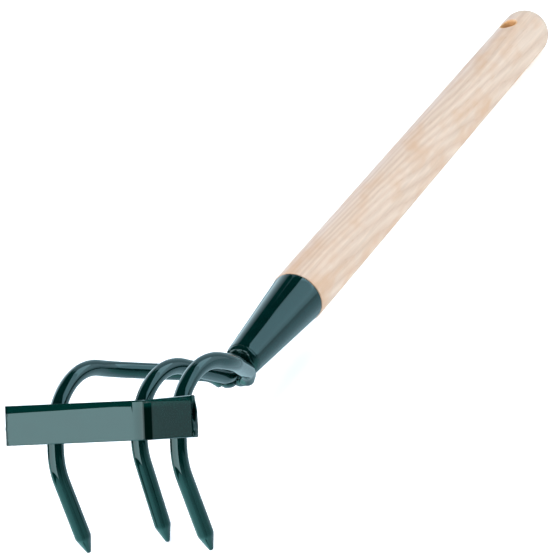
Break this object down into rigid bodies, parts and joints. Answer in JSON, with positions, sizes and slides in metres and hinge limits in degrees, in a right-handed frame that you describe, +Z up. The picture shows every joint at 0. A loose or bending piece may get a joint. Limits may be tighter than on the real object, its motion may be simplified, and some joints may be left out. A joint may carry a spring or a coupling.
{
  "type": "hand cultivator",
  "caption": "Hand cultivator with pencil-pointed steel tines hooked forward of a flat bent cross strap, a conical socket and a straight round wooden handle with a hang hole.",
  "frame": {"origin": "on the surface that the tool lies on, below the middle of its bounding box", "axes": "+Y along the tool from the tines to the butt of the handle, +Z up with the tines pointing down, +X to the right for someone in front of the tines who looks at them along +Y"},
  "size_m": [0.1326, 0.5364, 0.1047],
  "materials": {
    "ash_wood": "sanded smooth, thin clear coat",
    "green_paint": "glossy dip-coated enamel",
    "nail_steel": "plain bright steel"
  },
  "bodies": {
    "root": {"handle": "ash_wood", "socket": "green_paint", "handle_nail": "nail_steel", "socket_weld": "green_paint", "middle_tine": "green_paint", "left_tine": "green_paint", "right_tine": "green_paint", "cross_strap": "green_paint", "root_weld": "green_paint", "left_strap_weld_left": "green_paint", "left_strap_weld_right": "green_paint", "middle_strap_weld_left": "green_paint", "middle_strap_weld_right": "green_paint", "right_strap_weld_left": "green_paint", "right_strap_weld_right": "green_paint"}
  },
  "joints": []
}
